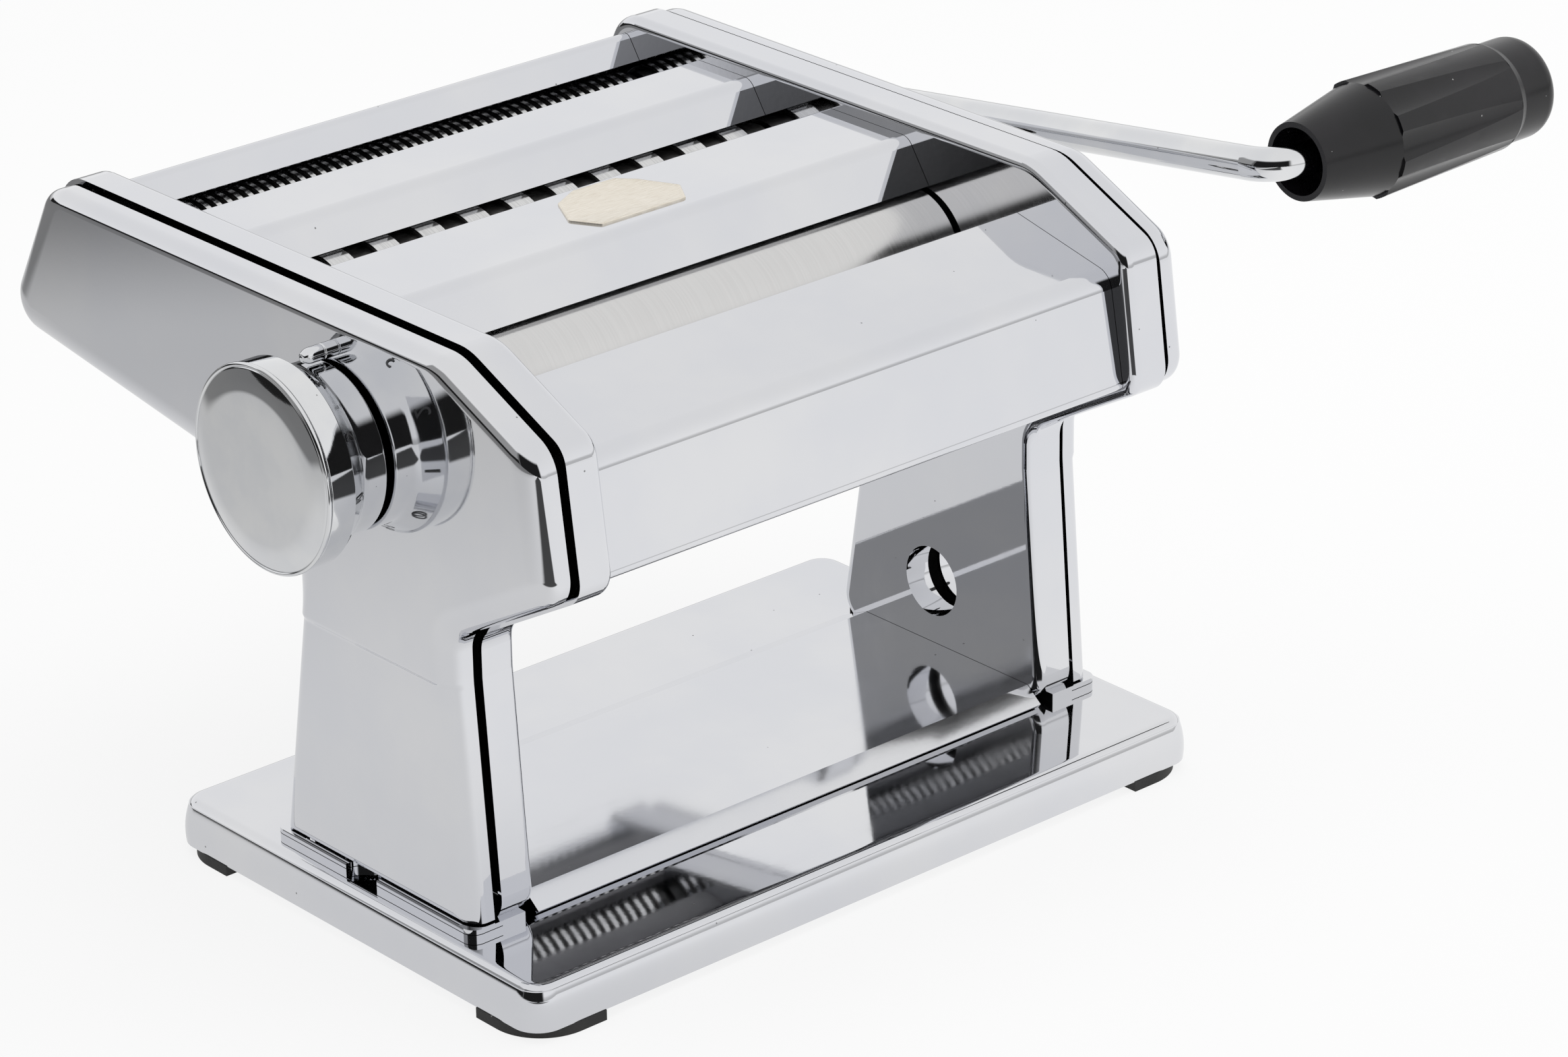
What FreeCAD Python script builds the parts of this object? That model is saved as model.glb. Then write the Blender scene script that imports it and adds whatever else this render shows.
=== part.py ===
import FreeCAD, Part
import math
import os
import re
import Sketcher

# Hand-cranked pasta machine: two smooth rollers and two pairs of cutters between pressed
# side frames, on a base plate with rubber feet.  Millimetres, X to the crank, Y to the
# back, Z up, origin on the table under the middle of the base plate.

# Driving sizes
SIZES = {
    # base plate and feet
    "base_overhang": 24, "base_depth": 130, "base_top": 13.2, "rim_lift": 2.5,
    "base_corner": 13, "base_edge": 4, "sheet": 1.2,
    "foot_arm": 20, "foot_strip": 5, "foot_grip": 6,
    # side frames and covers, measured across the machine
    "inner_width": 152, "frame_rim": 9.6, "rim_gap": 2.8, "cover_reach": 5.6,
    "cover_inset": 0.8, "frame_bend": 2.5, "cover_edge": 4.5,
    "flange_reach": 18.5, "flange_sheets": 2, "flange_corner": 3, "flange_notch": 5.5, "notch_y": 1.4,
    "foot_gap": 1.2,
    # side outline, Y and Z of its corners
    "roof_z": 147.7, "roof_back": 111, "roof_front": -33, "brow_y": -63.2, "brow_z": 134,
    "chin_y": -67.6, "chin_z": 101.5, "throat_y": -33.2, "throat_z": 82.3, "knee_z": 72,
    "toe_y": -37.6, "heel_y": 33, "calf_y": 22.8, "calf_z": 94.1, "tail_y": 131.5, "tail_z": 110.2,
    "roof_back_round": 10, "roof_front_round": 15, "corner_round": 6.5, "tail_round": 8,
    "knee_round": 40, "foot_round": 7,
    # roof strips, panels and floor pan
    "panel_sheet": 1, "panel_bend": 4, "hem": 1.6, "hem_sink": 0.1, "hem_drop": 0.4, "side_play": 0.1,
    "feed_gap": 2.5, "lip_gap": 1, "panel_inset": 4.5, "panel_sink": 6, "strip_sink": 4.5, "strip_edge": 3.5,
    "strip_back": 2, "strip_lean": 0.8, "strip_bend": 3, "back_inset": 2.6, "back_lip": 6,
    "pan_rise": 4.5, "pan_toe": -37.5, "pan_front": -33, "pan_back": 23, "pan_heel": 31,
    # clamp hole in the right leg
    "clamp_z": 33.4, "clamp_bore": 8.7, "collar_wall": 1.1, "collar_inner": 7, "collar_outer": 8.2,
    "collar_proud": 1,
    # rollers and cutters
    "roller_play": 1, "roller_radius": 15, "journal": 5, "run_gap": 0.05,
    "smooth_y": -28.8, "nip": 2.8, "smooth_z": 117,
    "cutter_radius": 11.5, "cutter_core": 10, "cutter_span": 22, "side_gap": 0.2,
    "wide_y": 37, "wide_z": 123, "wide_pitch": 13,
    "narrow_y": 83, "narrow_z": 123.5, "narrow_pitch": 3,
    "shaft_sink": 2, "shaft_past_gear": 0.6, "shaft_past_bush": 1.3, "socket_side": 5.5, "socket_depth": 14,
    "socket_room": 1,
    "comb_gap": 0.4, "comb_bar": 3, "comb_sweep": 35, "comb_start": 250,
    # bushes, gears and the sliding carriage
    "bush_spigot": 7, "bush_flange": 9, "flange_thick": 2.5,
    "gear_gap": 0.6, "gear_width": 5.6, "tooth_root": 0.5,
    "long_tip": 17.65, "long_root": 12.4, "long_teeth": 12, "long_half_root": 1.7, "long_half_tip": 0.6,
    "short_tip": 12.1, "short_root": 9.4, "short_teeth": 16, "short_half_root": 1.3, "short_half_tip": 0.5,
    "travel_in": 2.5, "travel_out": 2, "slot_gap": 0.8,
    "block_gap": 0.2, "block_thick": 5, "block_half": 14, "block_top": 128, "block_low": 90,
    "rail": 3, "rail_gap": 0.1, "rail_front": -16, "rail_back": 14.5, "rail_width": 5.4,
    "link_z": 96, "link_radius": 3, "blade_half": 2.5, "blade_gap": 0.5,
    # thickness knob
    "cam_gap": 1.6, "cam_width": 4, "cam_radius": 10, "cam_play": 0.3, "cam_step": 0.5, "step_angle": 36,
    "follower": 2, "spindle": 4, "spindle_past_cam": 0.4, "collar_radius": 6, "collar_play": 0.1,
    "knob_bush_radius": 8, "knob_bush_flange": 11, "bush_proud": 0.4, "knob_clear": 1, "knob_lower": 19.5,
    "knob_skirt": 6, "knob_upper": 23.3, "knob_cone": 5.4, "knob_step": 0.6, "knob_band": 6.1,
    "pull_travel": 5, "pull_clear": 1, "screw_thick": 1.5, "screw_clear": 1, "screw_length": 8,
    "knob_cavity": 7.5, "screw_head": 6, "screw_shank": 1.5, "flat_height": 3, "flat_setback": 1.5,
    "key_half": 2.8, "key_root": 0.6,
    "cap_rim": 23.6, "cap_thick": 1.3, "dome_rise": 1.2, "cap_groove": 0.25, "cap_bead": 0.5, "cap_seat": 0.3,
    "pin_y": 5, "pin_z": 138.7, "pin_radius": 1.8, "pin_length": 7.2,
    # crank and grip
    "crank_rod": 4, "crank_offset": 29, "crank_bend": 9, "crank_radius": 151.4, "crank_tilt": 7.77,
    "tang_side": 5.3, "tang_gap": 0.4, "tang_length": 13.4,
    "grip_offset": 6, "grip_mouth": 9.3, "grip_hollow": 8, "hollow_depth": 12, "grip_cup": 21,
    "shoulder_radius": 13.4, "rib_radius": 14.1, "rib_length": 41, "grip_tail": 12.2, "grip_tip": 14,
    "tail_step": 0.8, "tail_slope": 2, "grip_round": 4, "grip_play": 0.06, "grip_end_wall": 7, "rod_end_gap": 1,
    "flute_radius": 9, "flute_depth": 1.2, "flutes": 8,
    # tie rods, posts and rivets
    "rod_radius": 3, "rod_thread": 2.5, "rod_overhang": 7, "nut_radius": 4.6, "nut_thick": 4,
    "rod_front_y": -52, "rod_front_z": 112, "rod_middle_y": 20, "rod_middle_z": 135,
    "rod_rear_y": 70, "rod_rear_z": 136, "post_radius": 3,
    "post_rise": 12, "post_back_rise": 15.5, "post_y": -8, "post_low_rise": 19,
    "rivet_inset": 8, "rivet_front": -24, "rivet_back": 20, "rivet_radius": 2,
    "rivet_head": 3.5, "head_thick": 1.5,
}

# Words for places that follow from the driving sizes
WALL = "inner_width / 2"
WALL_OUT = "(inner_width / 2 + sheet)"
COVER_IN = "(inner_width / 2 + frame_rim + rim_gap)"
COVER_FACE = "(inner_width / 2 + frame_rim + rim_gap + cover_reach)"
COVER_BACK = "(inner_width / 2 + frame_rim + rim_gap + cover_reach - sheet)"
REAR_Y = "(smooth_y + 2 * roller_radius + nip)"
WIDE_REAR = "(wide_y + cutter_span)"
NARROW_REAR = "(narrow_y + cutter_span)"
PANEL_HALF = "(inner_width / 2 - side_play)"

# Places across the machine, each built on its neighbour, as formulas of the sheet
PLACES = {
    "base_length": "inner_width + 2 * base_overhang",
    "flange_top": "base_top + flange_sheets * sheet",
    "cover_foot": "flange_top + foot_gap",
    "rivet_x": f"{WALL} + rivet_inset",
    "roller_half": f"{WALL} - roller_play",
    "idle_end": f"{WALL_OUT} + flange_thick + shaft_past_bush",
    "block_in": f"{WALL_OUT} + block_gap",
    "gear_in": "block_in + block_thick + gear_gap",
    "short_end": "gear_in + gear_width + shaft_past_gear",
    "shaft_end": f"{COVER_FACE} - shaft_sink",
    "cam_in": "block_in + block_thick + cam_gap",
    "spindle_in": "cam_in - spindle_past_cam",
    "knob_start": f"{COVER_FACE} + knob_clear",
    "knob_neck": "knob_start + knob_skirt",
    "knob_shoulder": "knob_neck + knob_cone",
    "knob_rim": "knob_shoulder + knob_band",
    "spindle_end": "knob_rim - screw_clear - screw_thick",
    "knob_web": "spindle_end - pull_clear - pull_travel",
    "screw_tip": "spindle_end - screw_length",
    "cap_edge": "knob_rim + cap_thick",
    "cap_dome": "cap_edge + dome_rise",
    "crank_plane": "shaft_end + crank_offset",
    "grip_start": "crank_plane + grip_offset",
    "grip_shoulder": "grip_start + grip_cup",
    "rib_end": "grip_shoulder + rib_length",
    "grip_end": "rib_end + grip_tip",
    "grip_floor": "grip_end - grip_end_wall",
    "grip_bore": "crank_rod + grip_play",
}

doc = FreeCAD.newDocument("pasta_machine")
sheet = doc.addObject("Spreadsheet::Sheet", "sizes")
WORDS = {**SIZES, **{word: f"={rule}" for word, rule in PLACES.items()}}
for line, (word, value) in enumerate(WORDS.items(), 1):
    sheet.set(f"A{line}", word)
    sheet.set(f"B{line}", str(value))
    sheet.setAlias(f"B{line}", word)
doc.recompute()
nodes = {}


# Helpers

def bound(text):
    """A rule in plain sheet words, as a property's expression."""
    return re.sub(r"[a-z_]+", lambda m: "sizes." + m[0] if m[0] in WORDS else m[0], str(text))


def number(text):
    return float(sheet.evalExpression(str(text)))


def new_body(label, x="0", y="0", z="0", turn=0):
    body = doc.addObject("PartDesign::Body", label)
    body.Label = label
    body.Placement = FreeCAD.Placement(FreeCAD.Vector(), FreeCAD.Rotation(FreeCAD.Vector(1, 0, 0), turn))
    for axis, text in zip("xyz", (x, y, z)):
        body.setExpression(f"Placement.Base.{axis}", bound(text))
    nodes[label] = body
    return body


def origin_part(body, role):
    return next(feature for feature in body.Origin.OriginFeatures if feature.Role == role)


def sketch_on(body, plane, lift="0"):
    sketch = body.newObject("Sketcher::SketchObject", "outline")
    sketch.AttachmentSupport = [(origin_part(body, plane), "")]
    sketch.MapMode = "FlatFace"
    sketch.setExpression("AttachmentOffset.Base.z", bound(lift))
    return sketch


def pin_point(sketch, geometry, place, corner):
    """Hold one point of a sketch at a place given in sheet words."""
    for kind, text in zip(("DistanceX", "DistanceY"), corner):
        rule = Sketcher.Constraint(kind, -1, 1, geometry, place, number(text))
        index = sketch.addConstraint(rule)
        sketch.setExpression(f"Constraints[{index}]", bound(text))


def add_polygon(sketch, corners):
    points = [FreeCAD.Vector(number(u), number(v), 0) for u, v in corners]
    first = sketch.GeometryCount
    count = len(points)
    for i in range(count):
        sketch.addGeometry(Part.LineSegment(points[i], points[(i + 1) % count]), False)
    for i in range(count):
        sketch.addConstraint(Sketcher.Constraint("Coincident", first + i, 2, first + (i + 1) % count, 1))
    for i, corner in enumerate(corners):
        pin_point(sketch, first + i, 1, corner)


def add_circle(sketch, u, v, radius):
    centre = FreeCAD.Vector(number(u), number(v), 0)
    circle = sketch.addGeometry(Part.Circle(centre, FreeCAD.Vector(0, 0, 1), number(radius)), False)
    pin_point(sketch, circle, 3, (u, v))
    index = sketch.addConstraint(Sketcher.Constraint("Radius", circle, number(radius)))
    sketch.setExpression(f"Constraints[{index}]", bound(radius))


def drawing(body, plane, polygons=(), circles=(), lift="0"):
    sketch = sketch_on(body, plane, lift)
    for corners in polygons:
        add_polygon(sketch, corners)
    for u, v, radius in circles:
        add_circle(sketch, u, v, radius)
    return sketch


def pad(body, sketch, length, back=False):
    feature = body.newObject("PartDesign::Pad", "pad")
    feature.Profile = sketch
    feature.setExpression("Length", bound(length))
    feature.Reversed = back
    doc.recompute()
    return feature


def cut(body, sketch, length=None, back=False):
    """Pocket against the sketch's normal, or right through both ways."""
    before = body.Shape.Volume
    feature = body.newObject("PartDesign::Pocket", "cut")
    feature.Profile = sketch
    if length is None:
        feature.Type = "ThroughAll"
        feature.Midplane = True
    else:
        feature.setExpression("Length", bound(length))
        feature.Reversed = back
    doc.recompute()
    assert feature.Shape.Volume < before - 1e-3, f"a cut in {body.Label} removed nothing"
    return feature


def turned(body, polygons, angle="360"):
    """Revolve outlines of (x, radius) about the body's X axis."""
    sketch = drawing(body, "XY_Plane", polygons)
    feature = body.newObject("PartDesign::Revolution", "turned")
    feature.Profile = sketch
    feature.ReferenceAxis = (origin_part(body, "X_Axis"), [""])
    feature.setExpression("Angle", bound(angle))
    doc.recompute()
    return feature


def repeat_along(body, feature, length, count):
    pattern = body.newObject("PartDesign::LinearPattern", "row")
    pattern.Originals = [feature]
    pattern.Direction = (origin_part(body, "X_Axis"), [""])
    pattern.setExpression("Length", bound(length))
    pattern.setExpression("Occurrences", bound(count))
    body.Tip = pattern
    doc.recompute()
    return pattern


def repeat_around(body, feature, count):
    pattern = body.newObject("PartDesign::PolarPattern", "ring")
    pattern.Originals = [feature]
    pattern.Axis = (origin_part(body, "X_Axis"), [""])
    pattern.Angle = 360
    pattern.setExpression("Occurrences", bound(count))
    body.Tip = pattern
    doc.recompute()
    return pattern


def round_edges(body, radius, chosen):
    base = body.Tip
    names = [f"Edge{i}" for i, edge in enumerate(base.Shape.Edges, 1) if chosen(edge)]
    feature = body.newObject("PartDesign::Fillet", "round")
    feature.Base = (base, names)
    feature.setExpression("Radius", bound(radius))
    doc.recompute()
    return feature


def hollow(body, wall, open_face):
    base = body.Tip
    names = [f"Face{i}" for i, face in enumerate(base.Shape.Faces, 1) if open_face(face)]
    feature = body.newObject("PartDesign::Thickness", "hollow")
    feature.Base = (base, names)
    feature.setExpression("Value", bound(wall))
    feature.Reversed = True
    doc.recompute()
    return feature


def crossways_at(*places):
    """Choose edges along X that pass through the given (y, z) places."""
    spots = [(number(y), number(z)) for y, z in places]

    def chosen(edge):
        box = edge.BoundBox
        if box.YLength > 1e-6 or box.ZLength > 1e-6:
            return False
        return any(abs(box.YMin - y) < 1e-4 and abs(box.ZMin - z) < 1e-4 for y, z in spots)
    return chosen


def flat_at_x(place):
    """Choose faces or edges that lie in one plane square to X."""
    return lambda item: item.BoundBox.XLength < 1e-6 and abs(item.BoundBox.XMin - place) < 1e-4


def box_outline(y_low, y_high, z_low, z_high):
    return [(y_low, z_low), (y_high, z_low), (y_high, z_high), (y_low, z_high)]


def signed(side, text):
    return f"{side} * ({text})"


# Base plate with its rolled rim
body = new_body("base_plate")
half_x, half_y = "base_length / 2", "base_depth / 2"
rectangle = [(f"-{half_x}", f"-{half_y}"), (half_x, f"-{half_y}"), (half_x, half_y), (f"-{half_x}", half_y)]
pad(body, drawing(body, "XY_Plane", [rectangle], lift="rim_lift"), "base_top - rim_lift")
round_edges(body, "base_corner", lambda edge: edge.BoundBox.ZLength > 1)
round_edges(body, "base_edge", lambda edge: edge.BoundBox.ZMin > number("base_top") - 1e-4)
hollow(body, "sheet", lambda face: face.BoundBox.ZMax < number("rim_lift") + 1e-4)
RIVET_ROW = ("rivet_front", "rivet_back")
rivets = [(signed(side, "rivet_x"), y, "rivet_radius") for side in (-1, 1) for y in RIVET_ROW]
cut(body, drawing(body, "XY_Plane", circles=rivets))


# Rubber corner feet: a lip under the rim and a thicker part that grips it from inside
def corner_foot(label, side, end):
    body = new_body(label)

    def corner(inset, strip):
        far_x, far_y = f"base_length / 2 - {inset}", f"base_depth / 2 - {inset}"
        near_x, near_y = "base_length / 2 - foot_arm", "base_depth / 2 - foot_arm"
        in_x, in_y = f"{far_x} - {strip}", f"{far_y} - {strip}"
        places = [(near_x, far_y), (far_x, far_y), (far_x, near_y)]
        places += [(in_x, near_y), (in_x, in_y), (near_x, in_y)]
        return [(signed(side, x), signed(end, y)) for x, y in places]

    def round_corner(inset, radius):
        spot_x = side * (number("base_length") / 2 - number(inset))
        spot_y = end * (number("base_depth") / 2 - number(inset))
        round_edges(body, radius, lambda edge: edge.BoundBox.ZLength > 1
                    and abs(edge.BoundBox.XMin - spot_x) < 1e-4 and abs(edge.BoundBox.YMin - spot_y) < 1e-4)

    pad(body, drawing(body, "XY_Plane", [corner("0", "foot_strip")]), "rim_lift")
    inner = corner("sheet", "(foot_strip - sheet)")
    pad(body, drawing(body, "XY_Plane", [inner], lift="rim_lift"), "foot_grip")
    round_corner("sheet", "base_corner - sheet")
    round_corner("0", "base_corner")
    round_corner("foot_strip", "base_corner - foot_strip")


for end, end_name in ((-1, "front"), (1, "back")):
    for side, side_name in ((-1, "left"), (1, "right")):
        corner_foot(f"foot_{end_name}_{side_name}", side, end)


# Side frames: pressed trays whose rims point outwards
FRAME_OUTLINE = [
    ("roof_back", "roof_z"), ("roof_front", "roof_z"), ("brow_y", "brow_z"), ("chin_y", "chin_z"),
    ("throat_y", "throat_z"), ("throat_y", "knee_z"), ("toe_y", "base_top"), ("heel_y", "base_top"),
    ("calf_y", "knee_z"), ("calf_y", "calf_z"), ("tail_y", "tail_z"),
]
FIXED_AXES = [
    ("smooth_y", "smooth_z"), ("wide_y", "wide_z"), (WIDE_REAR, "wide_z"),
    ("narrow_y", "narrow_z"), (NARROW_REAR, "narrow_z"),
]
TIE_RODS = {
    "tie_rod_front": ("rod_front_y", "rod_front_z"), "tie_rod_middle": ("rod_middle_y", "rod_middle_z"),
    "tie_rod_rear": ("rod_rear_y", "rod_rear_z"), "tie_rod_lower": ("smooth_y", "link_z"),
}


def travel_slot(z, radius):
    """Opening in a side frame for a shaft that slides with the carriage."""
    reach = f"({radius} + slot_gap)"
    low, high = f"{REAR_Y} - {reach} - travel_in", f"{REAR_Y} + {reach} + travel_out"
    return box_outline(low, high, f"{z} - {reach}", f"{z} + {reach}")


def round_outline(body, outline):
    back, front, brow, chin, throat, knee_front, toe, heel, knee_back, calf, tail = outline
    round_edges(body, "roof_back_round", crossways_at(back))
    round_edges(body, "roof_front_round", crossways_at(front))
    round_edges(body, "corner_round", crossways_at(brow, chin, throat, calf))
    round_edges(body, "tail_round", crossways_at(tail))
    round_edges(body, "knee_round", crossways_at(knee_front, knee_back))
    round_edges(body, "foot_round", crossways_at(toe, heel))


def side_frame(label, side):
    body = new_body(label, x=signed(side, WALL))
    left = side < 0
    pad(body, drawing(body, "YZ_Plane", [FRAME_OUTLINE]), "frame_rim", back=left)
    round_outline(body, FRAME_OUTLINE)
    round_edges(body, "frame_bend", flat_at_x(0))
    hollow(body, "sheet", flat_at_x(side * number("frame_rim")))
    # foot flange with its half-round notch
    near, far = signed(side, "frame_bend + sheet"), signed(side, "flange_reach")
    flange = [(near, "toe_y"), (far, "toe_y"), (far, "heel_y"), (near, "heel_y")]
    pad(body, drawing(body, "XY_Plane", [flange], lift="base_top"), "flange_top - base_top")
    round_edges(body, "flange_corner", lambda edge: edge.BoundBox.ZLength > number("sheet")
                and flat_at_x(number(far))(edge))
    notch = [(far, "notch_y", "flange_notch")]
    cut(body, drawing(body, "XY_Plane", circles=notch, lift="flange_top"), "flange_top - base_top")
    local_rivets = [(signed(side, "rivet_inset"), y, "rivet_radius") for y in RIVET_ROW]
    cut(body, drawing(body, "XY_Plane", circles=local_rivets, lift="flange_top"), "flange_top - base_top")
    # shaft holes, carriage slots and tie rod holes
    holes = [(y, z, "bush_spigot") for y, z in FIXED_AXES]
    holes += [(y, z, "rod_thread") for y, z in TIE_RODS.values()]
    slots = [travel_slot("smooth_z", "journal"), travel_slot("link_z", "link_radius")]
    cut(body, drawing(body, "YZ_Plane", slots, holes))
    if not left:
        ring = [("0", "clamp_z", "clamp_bore"), ("0", "clamp_z", "clamp_bore + collar_wall")]
        pad(body, drawing(body, "YZ_Plane", circles=ring), "collar_inner")
        cut(body, drawing(body, "YZ_Plane", circles=ring[:1]))


side_frame("side_frame_left", -1)
side_frame("side_frame_right", 1)

# End covers: shallower trays that face the frames across a dark gap
COVER_OUTLINE = [
    ("roof_back - cover_inset", "roof_z - cover_inset"),
    ("roof_front + 0.3 * cover_inset", "roof_z - cover_inset"),
    ("brow_y + cover_inset", "brow_z - 0.6 * cover_inset"),
    ("chin_y + cover_inset", "chin_z + 0.6 * cover_inset"),
    ("throat_y + cover_inset", "throat_z + cover_inset"), ("throat_y + cover_inset", "knee_z"),
    ("toe_y + 1.3 * cover_inset", "cover_foot"), ("heel_y - 2 * cover_inset", "cover_foot"),
    ("calf_y - cover_inset", "knee_z"), ("calf_y - cover_inset", "calf_z + cover_inset"),
    ("tail_y - 1.5 * cover_inset", "tail_z + 0.8 * cover_inset"),
]


def end_cover(label, side):
    body = new_body(label, x=signed(side, COVER_IN))
    left = side < 0
    pad(body, drawing(body, "YZ_Plane", [COVER_OUTLINE]), "cover_reach", back=left)
    round_outline(body, COVER_OUTLINE)
    round_edges(body, "cover_edge", flat_at_x(side * number("cover_reach")))
    hollow(body, "sheet", flat_at_x(0))
    if left:
        cut(body, drawing(body, "YZ_Plane", circles=[(REAR_Y, "smooth_z", "knob_bush_radius")]))
        return
    sockets = [(y, z, "journal + socket_room") for y, z in (FIXED_AXES[0], FIXED_AXES[1], FIXED_AXES[3])]
    cut(body, drawing(body, "YZ_Plane", circles=sockets))
    ring = [("0", "clamp_z", "clamp_bore"), ("0", "clamp_z", "clamp_bore + collar_wall")]
    start = "cover_reach + collar_proud - collar_outer"
    pad(body, drawing(body, "YZ_Plane", circles=ring, lift=start), "collar_outer")
    cut(body, drawing(body, "YZ_Plane", circles=ring[:1]))


end_cover("end_cover_left", -1)
end_cover("end_cover_right", 1)


# Bent sheets across the machine, drawn as their side view
def bent_sheet(label, top_line, bends=(), sheet_word="panel_sheet"):
    """Sheet whose upper face follows the line of (y, z) words, as thick as the sheet below it."""
    body = new_body(label, x=f"-{PANEL_HALF}")
    thick = number(sheet_word)
    upper = [FreeCAD.Vector(number(y), number(z), 0) for y, z in top_line]
    lower = []
    for i, point in enumerate(upper):
        legs = []
        if i > 0:
            legs.append((point - upper[i - 1]).normalize())
        if i < len(upper) - 1:
            legs.append((upper[i + 1] - point).normalize())
        normals = [FreeCAD.Vector(leg.y, -leg.x, 0) for leg in legs]
        middle = sum(normals[1:], normals[0])
        middle.normalize()
        lower.append(point + middle * (thick / middle.dot(normals[0])))
    corners = [(f"{p.x:.3f}", f"{p.y:.3f}") for p in upper + lower[::-1]]
    pad(body, drawing(body, "YZ_Plane", [corners]), f"2 * {PANEL_HALF}")
    for i, radius in bends:
        pair = [(f"{p.x:.3f}", f"{p.y:.3f}") for p in (upper[i], lower[i])]
        turn_out = (upper[i] - upper[i - 1]).cross(upper[i + 1] - upper[i]).z < 0
        far, near = pair if turn_out else pair[::-1]
        round_edges(body, f"{radius} + {sheet_word}", crossways_at(far))
        round_edges(body, radius, crossways_at(near))
    return body


SMOOTH_FEED = "smooth_z + roller_radius + feed_gap"
SMOOTH_LIP = "smooth_z + roller_radius + lip_gap"
WIDE_FEED = "wide_z + cutter_radius + feed_gap"
WIDE_LIP = "wide_z + cutter_radius + lip_gap"
NARROW_FEED = "narrow_z + cutter_radius + feed_gap"
STRIP_TOP = "roof_z - strip_sink"
PANEL_LOW = ("chin_y + panel_inset", "chin_z + hem")
PANEL_BEND = ("brow_y + panel_inset", "brow_z - panel_sink")
body = bent_sheet("front_panel", [PANEL_LOW, PANEL_BEND, ("smooth_y", SMOOTH_FEED)], bends=[(1, "panel_bend")])
hem = [(f"{PANEL_LOW[0]} + hem - hem_sink", f"{PANEL_LOW[1]} - hem_drop", "hem")]
pad(body, drawing(body, "YZ_Plane", circles=hem), f"2 * {PANEL_HALF}")
bent_sheet("strip_front", [
    (f"{REAR_Y} - strip_edge", SMOOTH_LIP), (f"{REAR_Y} + strip_edge", STRIP_TOP),
    ("wide_y - strip_back", STRIP_TOP), ("wide_y - strip_back + strip_lean", WIDE_FEED),
], bends=[(1, "strip_bend"), (2, "panel_sheet / 2")])
bent_sheet("strip_rear", [
    (f"{WIDE_REAR} - strip_edge / 2", WIDE_LIP), (f"{WIDE_REAR} + strip_edge", STRIP_TOP),
    ("narrow_y - strip_back / 2", STRIP_TOP), ("narrow_y - strip_back / 2 + strip_lean", NARROW_FEED),
], bends=[(1, "strip_bend"), (2, "panel_sheet / 2")])
bent_sheet("back_panel", [
    (f"{NARROW_REAR} - strip_edge / 2", NARROW_FEED), ("roof_back - back_inset", "roof_z - back_inset"),
    ("tail_y - back_lip", "tail_z + back_inset"), ("tail_y - 2 * back_lip", "tail_z + back_inset"),
], bends=[(1, "panel_sheet"), (2, "panel_sheet")])
PAN_LOW, PAN_HIGH = "base_top + panel_sheet", "base_top + pan_rise"
bent_sheet("floor_pan", [
    ("pan_toe", PAN_LOW), ("pan_front", PAN_HIGH), ("pan_back", PAN_HIGH), ("pan_heel", PAN_LOW),
])


# Tie rods between the side frames, with their nuts
def tie_rod(label, y, z):
    body = new_body(label, y=y, z=z)
    end = f"({WALL_OUT} + rod_overhang)"
    turned(body, [[(f"-{end}", "0"), (end, "0"), (end, "rod_thread"), (WALL, "rod_thread"),
                   (WALL, "rod_radius"), (f"-{WALL}", "rod_radius"), (f"-{WALL}", "rod_thread"),
                   (f"-{end}", "rod_thread")]])


for label, (y, z) in TIE_RODS.items():
    tie_rod(label, y, z)

body = new_body("tie_rod_nuts")
for side in (-1, 1):
    nuts = []
    for y, z in TIE_RODS.values():
        nuts.append([(f"{y} + nut_radius * {math.cos(math.radians(60 * k)):.6f}",
                      f"{z} + nut_radius * {math.sin(math.radians(60 * k)):.6f}") for k in range(6)])
    bores = [(y, z, "rod_thread") for y, z in TIE_RODS.values()]
    pad(body, drawing(body, "YZ_Plane", nuts, bores, lift=signed(side, WALL_OUT)), "nut_thick", back=side < 0)

# Posts that carry the end covers
POSTS = [("rod_front_y", "rod_front_z + post_rise"),
         ("narrow_y + cutter_span / 2", "narrow_z + post_back_rise"),
         ("post_y", "clamp_z + post_low_rise")]
for side, side_name in ((-1, "left"), (1, "right")):
    body = new_body(f"cover_posts_{side_name}")
    spots = [(y, z, "post_radius") for y, z in POSTS]
    length = f"{COVER_BACK} - {WALL_OUT}"
    pad(body, drawing(body, "YZ_Plane", circles=spots, lift=signed(side, WALL_OUT)), length, back=side < 0)

# Rivets that hold the legs to the base plate
body = new_body("leg_rivets")
heads = [(x, y, "rivet_head") for x, y, _ in rivets]
pad(body, drawing(body, "XY_Plane", circles=rivets, lift="base_top - sheet"), "flange_top - base_top + sheet")
pad(body, drawing(body, "XY_Plane", circles=heads, lift="flange_top"), "head_thick")
pad(body, drawing(body, "XY_Plane", circles=heads, lift="base_top - sheet"), "head_thick", back=True)


# Flanged bushes, one in each side frame, for every shaft that stays in place
def bush_pair(label, y, z):
    body = new_body(label, y=y, z=z)
    bore, outer = "journal + run_gap", f"({WALL_OUT} + flange_thick)"
    places = [(WALL, bore), (outer, bore), (outer, "bush_flange"), (WALL_OUT, "bush_flange"),
              (WALL_OUT, "bush_spigot"), (WALL, "bush_spigot")]
    turned(body, [[(signed(side, x), radius) for x, radius in places] for side in (-1, 1)])


for name, (y, z) in zip(("smooth_front", "wide_front", "wide_rear", "narrow_front", "narrow_rear"), FIXED_AXES):
    bush_pair(f"bushes_{name}", y, z)


# Shafts
def drive_socket(body):
    side = "socket_side / 2"
    square = [(f"-{side}", f"-{side}"), (side, f"-{side}"), (side, side), (f"-{side}", side)]
    cut(body, drawing(body, "YZ_Plane", [square], lift="shaft_end"), "socket_depth")


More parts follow.
